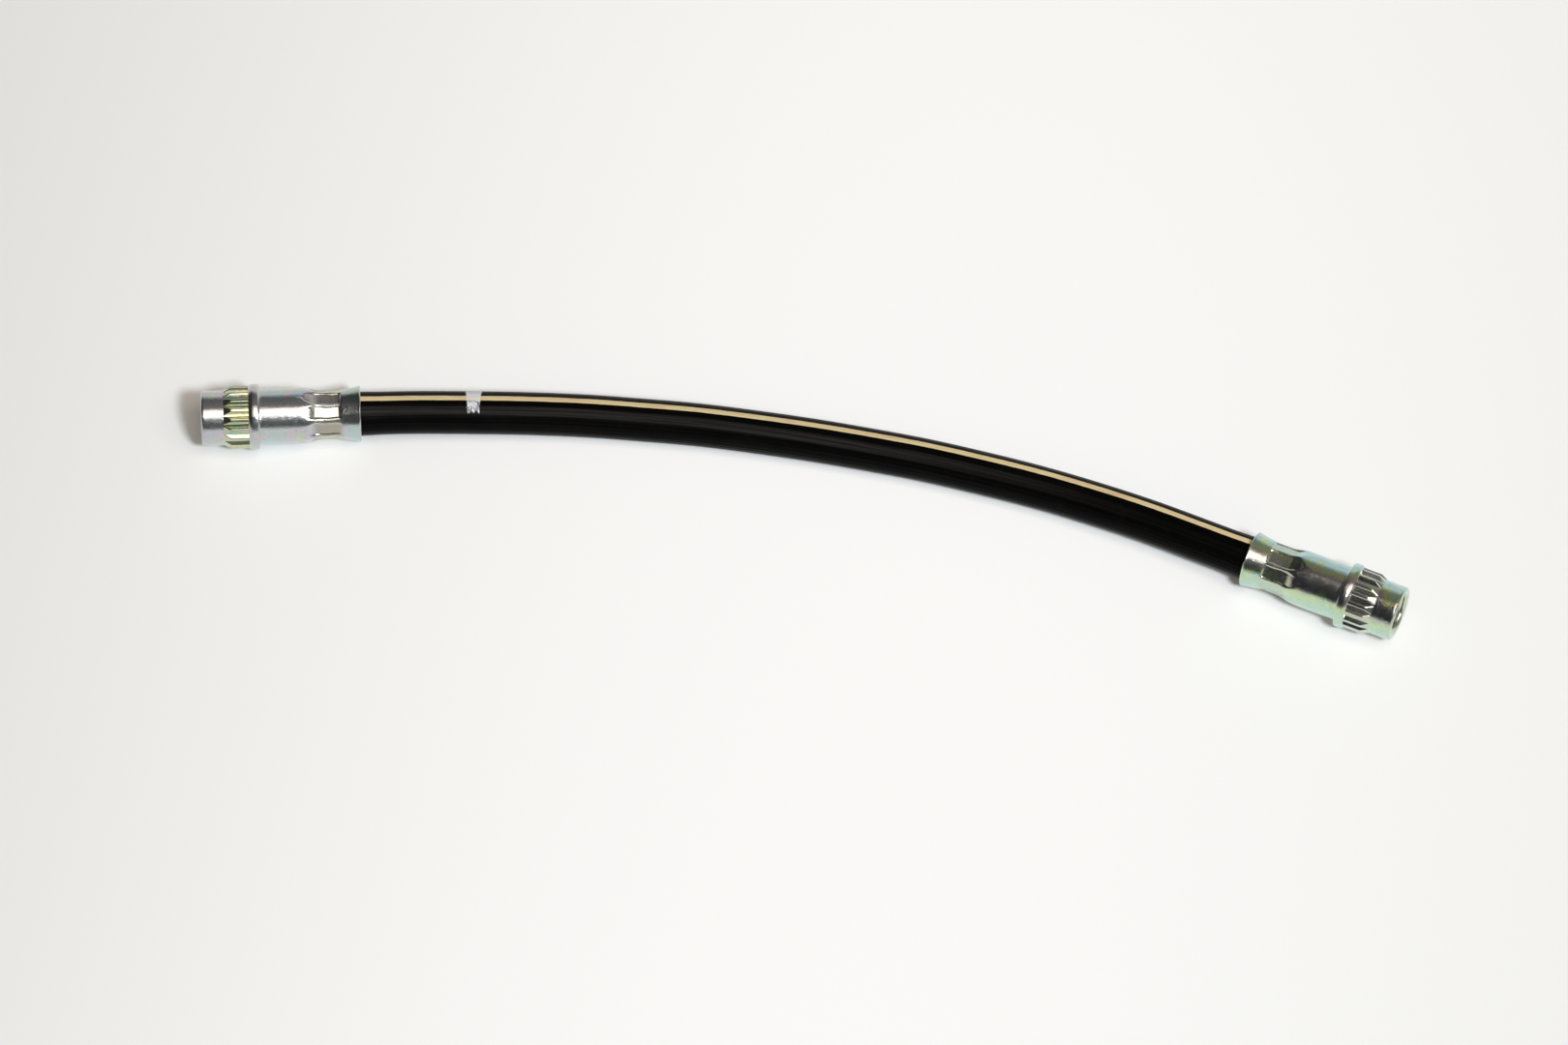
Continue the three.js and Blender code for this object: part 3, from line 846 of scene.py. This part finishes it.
def cream_line(s, uv, angle, share):
    """Where the cream line is, 0 to 1, and its colour."""
    wander = s.noise(s.scaled(uv, (0.0, 60.0, 1.0)), 1.0, 2.0)
    middle = s.range(share, 0.0, 1.0, -LINE_ANGLE_LEFT, -LINE_ANGLE_RIGHT)
    half = math.degrees(LINE_WIDTH / 2 / HOSE_RADIUS)
    edge = s.math("MULTIPLY_ADD", wander, LINE_WANDER, half - LINE_WANDER / 2)
    past_edge = s.math("SUBTRACT", s.apart(angle, middle), edge)
    in_line = s.range(past_edge, -LINE_SOFTNESS, LINE_SOFTNESS, 1.0, 0.0)
    grain = s.noise(s.scaled(uv, (160.0, 45.0, 1.0)), 1.0, 3.0, 0.65)
    blush = s.noise(s.scaled(uv, (6.0, 26.0, 1.0)), 1.0, 2.0)
    blushed = s.times(s.range(blush, 0.5, 0.75), 0.5)
    return in_line, s.mix(blushed, s.ramp(grain, LINE_CREAMS), LINE_BLUSH)


def paint_dab(s, uv, angle, share):
    """How far the paint covers the hose, 0 to 1: ragged at its sides, brushed out at its far and
    near ends, and flecked towards the near one."""
    brush = s.noise(s.scaled(uv, (20.0, 420.0, 1.0)), 1.0, 4.0, 0.7)
    ragged = s.noise(s.scaled(uv, (60.0, 900.0, 1.0)), 1.0, 3.0, 0.7)
    halves = (DAB_FAR_WIDTH / 2 - DAB_MARGIN, DAB_NEAR_WIDTH / 2 - DAB_MARGIN)
    taper = s.range(angle, DAB_FAR_ANGLE, DAB_NEAR_ANGLE, *halves)
    side = s.math("MULTIPLY_ADD", ragged, DAB_RAGGED, taper)
    from_middle = s.apart(s.times(share, HOSE_LENGTH), DAB_ALONG)
    beside = s.range(s.math("SUBTRACT", from_middle, side), -0.00015, 0.0002, 1.0, 0.0)
    near_end = s.math("MULTIPLY_ADD", brush, 26.0, DAB_NEAR_ANGLE - 15.0)
    near = s.range(s.math("SUBTRACT", angle, near_end), -5.0, 3.0, 1.0, 0.0)
    far_place = s.math("MULTIPLY_ADD", brush, 24.0, angle)
    far = s.range(far_place, DAB_FAR_ANGLE + 10.0, DAB_FAR_ANGLE + 16.0)
    flecks = s.times(s.range(angle, -14.0, 4.0), s.range(brush, 0.58, 0.46))
    return s.times(beside, near, far, s.math("MULTIPLY_ADD", flecks, -0.75, 1.0))


def cover_material():
    """The rubber with its cream line and the dab of paint."""
    s = Shader("cover_rubber")
    uv, turn, share = s.uv()
    angle = s.math("MULTIPLY_ADD", turn, 360.0, -180.0)
    streaks = s.noise(s.scaled(uv, (70.0, 5.0, 1.0)), 1.0, 3.0, 0.6)
    in_line, cream = cream_line(s, uv, angle, share)
    painted = paint_dab(s, uv, angle, share)
    colour = s.mix(in_line, rubber_colour(s, angle, share, streaks), cream)
    colour = s.mix(s.times(painted, s.math("MULTIPLY_ADD", in_line, -0.3, 1.0)), colour, PAINT)

    rough = s.range(streaks, *STREAK_RANGE, 0.38, 0.24)
    rough = s.math("MULTIPLY_ADD", s.math("MAXIMUM", painted, in_line), 0.15, rough)
    fine = s.noise(s.scaled(uv, (110.0, 6.0, 1.0)), 1.0, 3.0, 0.6)
    normal = s.bump(fine, 0.9, 0.00006)
    normal = s.bump(s.noise(s.place(), 5200.0, 3.0, 0.6), 0.25, 0.00004, normal)
    normal = s.bump(painted, 0.5, 0.00005, normal)
    s.set(Base_Color=colour, Roughness=rough, Normal=normal, Specular_IOR_Level=0.04)
    return s.material


def zinc_material(side):
    """Zinc plating with a thin clear film, whose tint changes round and along the fitting."""
    s = Shader("plated_steel_" + side)
    uv, turn, share = s.uv()
    place = s.place()
    patches = s.noise(place, 230.0, 1.0, 0.4, 0.3)
    crimped = s.band(share, *CRIMP_BAND)
    splines = s.band(share, *SPLINE_BAND)
    bare = (FILM_MIDDLE_ANGLE[side] - SPLINE_ROLL[side] - 180 / FITTING_POINTS_ROUND) / 360
    past_bare = s.math("SUBTRACT", turn, bare)
    from_bare = s.math("PINGPONG", past_bare, 0.5)
    if side == "left":
        tint = s.ramp(patches, LEFT_TINTS)
        bluish = s.math("MAXIMUM", s.band(share, *BLUISH_BAND), s.range(share, *BLUISH_MOUTH))
        tint = s.mix(s.times(bluish, 0.55), tint, LEFT_BLUISH)
        tint = s.mix(s.range(from_bare, 0.11, 0.05), tint, LEFT_BARE)
        gilt = s.range(s.noise(place, 420.0, 1.0), 0.35, 0.6, 0.45, 1.0)
        leafy = s.mix(s.range(patches, 0.4, 0.6), LEFT_SPLINE_GREEN, LEFT_SPLINE_GOLD)
        tint = s.mix(s.times(splines, gilt), tint, leafy)
        tint = s.mix(s.times(crimped, 0.85), tint, s.ramp(patches, CRIMP_CREAMS))
        # Painted shade: the crimp's prints low on the camera side are darker
        lower = s.band(past_bare, *LEFT_PAINTED_SHADE_BAND)
        tint = s.mix(s.times(crimped, lower, 0.8), tint, LEFT_CRIMP_PAINTED_SHADE)
    else:
        film = s.math("MULTIPLY_ADD", s.math("SUBTRACT", patches, 0.5), 0.28, from_bare)
        tint = s.ramp(film, RIGHT_TINTS)
        lower = s.band(past_bare, *RIGHT_LOWER_BAND)
        tint = s.mix(s.times(lower, 0.5), tint, RIGHT_LOWER_GREEN)
        tint = s.mix(s.times(crimped, 0.5), tint, RIGHT_CRIMP)
        tint = s.mix(s.times(splines, 0.65), tint, RIGHT_SPLINES)
    cloud = s.noise(place, 900.0, 4.0, 0.7)
    colour = s.mix(s.range(cloud, 0.52, 0.72, 0.0, 0.30), tint, ZINC_CLOUD)
    spots = s.range(s.noise(place, 2400.0, 2.0, 0.5), 0.66, 0.74)
    colour = s.mix(s.times(spots, 0.45), colour, ZINC_SPOT)
    rough = s.math("MULTIPLY_ADD", crimped, 0.06, s.range(cloud, 0.3, 0.75, 0.12, 0.24))
    marks = s.noise(s.scaled(uv, (3.0, 420.0, 1.0)), 1.0, 3.0, 0.6)
    normal = s.bump(marks, 0.12, 0.00005)
    grain = s.math("MULTIPLY_ADD", splines, -0.3, 0.45)
    normal = s.bump(s.noise(place, 2300.0, 2.0, 0.55), grain, 0.00007, normal)
    normal = s.bump(s.noise(place, 5000.0, 2.0, 0.6), grain, 0.00003, normal)
    s.set(Base_Color=colour, Metallic=1.0, Roughness=rough, Normal=normal)
    return s.material


def braid_material():
    s = Shader("braid_textile")
    weave = s.noise(s.scaled(s.place(), (1400.0, 2600.0, 2600.0)), 1.0, 3.0, 0.6)
    colour = s.ramp(weave, BRAID_THREADS)
    s.set(Base_Color=colour, Roughness=0.85, Normal=s.bump(weave, 0.6, 0.0002))
    return s.material


def liner_material():
    s = Shader("liner_rubber")
    grain = s.noise(s.place(), 1800.0, 4.0, 0.6)
    colour = s.ramp(grain, LINER_BLACKS)
    rough = s.range(grain, 0.3, 0.7, 0.5, 0.65)
    s.set(Base_Color=colour, Roughness=rough, Normal=s.bump(grain, 0.2, 0.00008))
    return s.material


def table_material():
    """White paper, brightest along a line from front to back. Painted shade greys it to both sides
    of that line and towards the front, and more below the panel, where more light falls."""
    s = Shader("table_paper")
    place = s.place()
    split = s.node("ShaderNodeSeparateXYZ")
    s.feed(split.inputs[0], place)
    x, y, _ = split.outputs
    # Painted shade: greyer to both sides of the bright line and towards the front
    sides = s.range(s.apart(x, TABLE_BRIGHT_LINE), 0.0, TABLE_SIDE_REACH, 0.0, TABLE_SIDE_PAINTED_SHADE)
    front = s.range(y, -TABLE_FRONT_REACH, TABLE_FRONT_REACH, TABLE_FRONT_PAINTED_SHADE, 0.0)
    colour = s.mix(s.math("ADD", sides, front), TABLE_PALE, TABLE_PAINTED_SHADE_GREY)
    # Painted shade below the panel
    from_panel = s.node("ShaderNodeVectorMath", operation="DISTANCE")
    s.feed(from_panel.inputs[0], place)
    s.feed(from_panel.inputs[1], BELOW_PANEL)
    clear_of_panel = s.range(from_panel.outputs["Value"], *TABLE_PANEL_REACH)
    colour = s.mix(clear_of_panel, TABLE_PAINTED_SHADE_UNDER_PANEL, colour)
    glow = s.times(s.seen_rays(), TABLE_GLOW)
    s.set(Base_Color=colour, Roughness=0.9, Specular_IOR_Level=0.1)
    s.set(Emission_Color=(1.0, 1.0, 0.98, 1), Emission_Strength=glow)
    return s.material


# Stage

def make_table():
    half = TABLE_SIZE / 2
    corners = [(-half, -half, 0), (half, -half, 0), (half, half, 0), (-half, half, 0)]
    mesh = bpy.data.meshes.new("table")
    mesh.from_pydata(corners, [], [(0, 1, 2, 3)])
    table = bpy.data.objects.new("table", mesh)
    bpy.context.scene.collection.objects.link(table)
    table.data.materials.append(table_material())


def make_lamp(name, place, size, power, colour, target):
    """A rectangular lamp at place that faces target."""
    data = bpy.data.lights.new(name, "AREA")
    data.shape = "RECTANGLE"
    data.size, data.size_y = size
    data.energy = power
    data.color = colour
    lamp = bpy.data.objects.new(name, data)
    lamp.location = place
    towards = Vector(target) - Vector(place)
    lamp.rotation_euler = towards.to_track_quat("-Z", "Y").to_euler()
    bpy.context.scene.collection.objects.link(lamp)


def make_lamps():
    """A wide panel high on the right, and a small soft lamp beside the camera."""
    make_lamp("panel", PANEL_PLACE, PANEL_SIZE, PANEL_POWER, PANEL_COLOUR, BELOW_PANEL)
    make_lamp("front", FRONT_PLACE, FRONT_SIZE, FRONT_POWER, FRONT_COLOUR, (0.0, 0.0, 0.0))


def make_world():
    """A room that is pale low down and dim above: metal shows it, and little of its light falls
    on the table."""
    world = bpy.data.worlds.new("room")
    bpy.context.scene.world = world
    world.use_nodes = True
    room = Nodes(world.node_tree)
    split = room.node("ShaderNodeSeparateXYZ")
    room.feed(split.inputs[0], room.node("ShaderNodeTexCoord").outputs["Generated"])
    x, y, z = split.outputs
    far_side = room.range(y, -0.25, 0.05)
    lean = room.math("MULTIPLY_ADD", room.math("ABSOLUTE", x), 0.6, z)
    far_high = room.mix(room.range(x, -0.45, 0.10), ROOM_FAR_HIGH_LEFT, ROOM_FAR_HIGH_RIGHT)
    far = room.mix(room.range(lean, 0.40, 0.70), ROOM_FAR_LOW, far_high)
    near_high = room.mix(room.range(x, -0.35, 0.25), ROOM_NEAR_HIGH_LEFT, ROOM_NEAR_HIGH_RIGHT)
    near = room.mix(room.range(z, 0.06, 0.26), ROOM_NEAR_LOW, near_high)
    seen = room.mix(far_side, near, far)
    glow = room.mix(far_side, ROOM_GLOW_NEAR, ROOM_GLOW_FAR)
    background = world.node_tree.nodes["Background"]
    room.feed(background.inputs["Color"], room.mix(room.seen_rays(), glow, seen))
    background.inputs["Strength"].default_value = 1.0


def main():
    make_camera()
    line = hose_route()
    hose = make_hose(line)
    hose.data.materials.append(cover_material())
    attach(hose, "root")
    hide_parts("hose_cover")

    layers = [
        ("hose_braid", "braid_textile", braid_material()),
        ("hose_liner", "liner_rubber", liner_material()),
    ]
    for node, slot, material in layers:
        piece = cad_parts[node]
        piece.data.materials.clear()
        piece.data.materials.append(material)

    for side in ("left", "right"):
        fitting = make_fitting(side)
        fitting.data.materials.append(zinc_material(side))
        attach(fitting, "root")
        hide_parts("end_fitting_" + side)

    make_table()
    make_lamps()
    make_world()
    bpy.context.scene.view_settings.view_transform = "Standard"


main()
